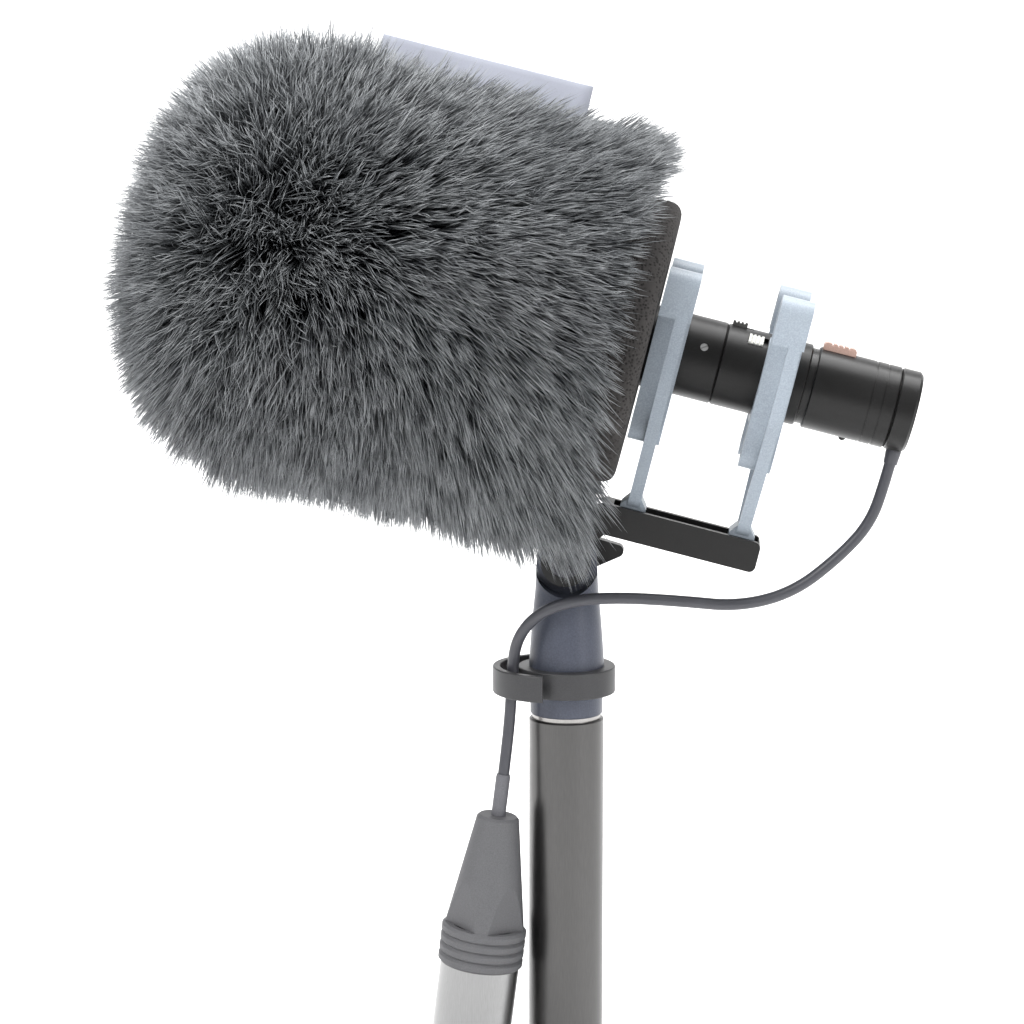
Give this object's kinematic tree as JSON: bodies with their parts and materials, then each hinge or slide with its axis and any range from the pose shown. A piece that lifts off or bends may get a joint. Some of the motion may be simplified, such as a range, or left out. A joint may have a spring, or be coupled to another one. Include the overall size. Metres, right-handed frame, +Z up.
{
  "type": "furry windscreen",
  "caption": "Long-pile furry microphone windscreen with its microphone, springy lyre suspension, tilting swivel, cable and plug on a short pole end.",
  "frame": {"origin": "centre of the mouth of the threaded socket in the foot of the pole", "axes": "+Z up the pole, -X the way the windscreen points, +Y to its right-hand side seen from behind"},
  "size_m": [0.1896, 0.114, 0.2684],
  "materials": {
    "fur": "matte",
    "foam": "matte",
    "rear_foam": "matte",
    "hem_tape": "matte",
    "label": "matte",
    "mic_metal": "satin",
    "capsule": "satin",
    "board": "satin",
    "steel": "satin",
    "insert_plastic": "satin",
    "slider_plastic": "satin",
    "pad_grey": "satin",
    "connector_black": "satin",
    "latch_rose": "satin",
    "cable_jacket": "satin",
    "sleeve": "satin",
    "lyre_plastic": "satin",
    "bar_black": "satin",
    "washer": "matte",
    "bolt_black": "satin",
    "brass": "satin",
    "lever_black": "satin",
    "adaptor_slate": "satin",
    "clip_grey": "satin",
    "pole_metal": "satin",
    "stud_steel": "satin",
    "plug_boot_rubber": "matte",
    "plug_metal": "satin",
    "gold_pins": "polished"
  },
  "bodies": {
    "pole": {"pole_tube": "pole_metal", "pole_stud": "stud_steel", "pole_ferrule": "stud_steel"},
    "adaptor": {"adaptor_body": "adaptor_slate", "thread_insert": "brass", "cable_clip": "clip_grey", "friction_washer": "washer", "pivot_bolt": "bolt_black", "cable": "cable_jacket", "cable_sleeve": "sleeve", "plug_boot": "plug_boot_rubber", "plug_collar": "plug_boot_rubber", "plug_shell": "plug_metal", "plug_insert": "insert_plastic", "plug_pins": "gold_pins"},
    "lever": {"lock_lever": "lever_black", "lever_nut": "brass"},
    "head": {"mounting_bar": "bar_black", "foot_screws": "steel", "lyre_front": "lyre_plastic", "lyre_rear": "lyre_plastic"},
    "mic": {"mic_grille": "mic_metal", "mic_capsule": "capsule", "mic_front_tube": "mic_metal", "mic_screw": "steel", "mic_board": "board", "mic_rear_tube": "mic_metal", "mic_pin_insert": "insert_plastic", "connector_shell": "connector_black", "connector_insert": "insert_plastic", "connector_end_ring": "connector_black", "latch_spring": "steel", "cable_grommet": "cable_jacket"},
    "filter_slider": {"filter_slider": "slider_plastic"},
    "pad_slider": {"pad_slider": "pad_grey"},
    "latch": {"latch_button": "latch_rose"},
    "windscreen": {"foam_core": "foam", "foam_rear_ring": "rear_foam", "fur_cover": "fur", "rear_hem": "hem_tape", "label_flag": "label"}
  },
  "joints": [
    {"name": "adaptor_turn", "type": "hinge", "parent": "pole", "child": "adaptor", "pos_m": [0, 0, 0.105], "axis": [0, 0, 1], "continuous": true},
    {"name": "head_tilt", "type": "hinge", "parent": "adaptor", "child": "head", "pos_m": [0, 0, 0.1415], "axis": [0, 1, 0], "range_deg": [-60, 45], "deforming": ["cable"]},
    {"name": "lever_turn", "type": "hinge", "parent": "adaptor", "child": "lever", "pos_m": [0, 0, 0.1415], "axis": [0, 1, 0], "range_deg": [-40, 45]},
    {"name": "mic_float", "type": "slide", "parent": "head", "child": "mic", "axis": [0.9703, 0, -0.2419], "range_m": [-0.002, 0.002], "stiffness_N_per_m": 900, "springref_m": -0.001, "deforming": ["lyre_front", "lyre_rear", "cable_grommet"]},
    {"name": "windscreen_slide", "type": "slide", "parent": "mic", "child": "windscreen", "axis": [-0.9703, 0, 0.2419], "range_m": [0, 0.1]},
    {"name": "latch_press", "type": "slide", "parent": "mic", "child": "latch", "axis": [-0.2419, 0, -0.9703], "range_m": [0, 0.0012], "stiffness_N_per_m": 600, "springref_m": -0.0005, "deforming": ["latch_spring"]},
    {"name": "filter_switch", "type": "slide", "parent": "mic", "child": "filter_slider", "axis": [0.9703, 0, -0.2419], "range_m": [0, 0.0015]},
    {"name": "pad_switch", "type": "slide", "parent": "mic", "child": "pad_slider", "axis": [0.9703, 0, -0.2419], "range_m": [0, 0.001]}
  ]
}
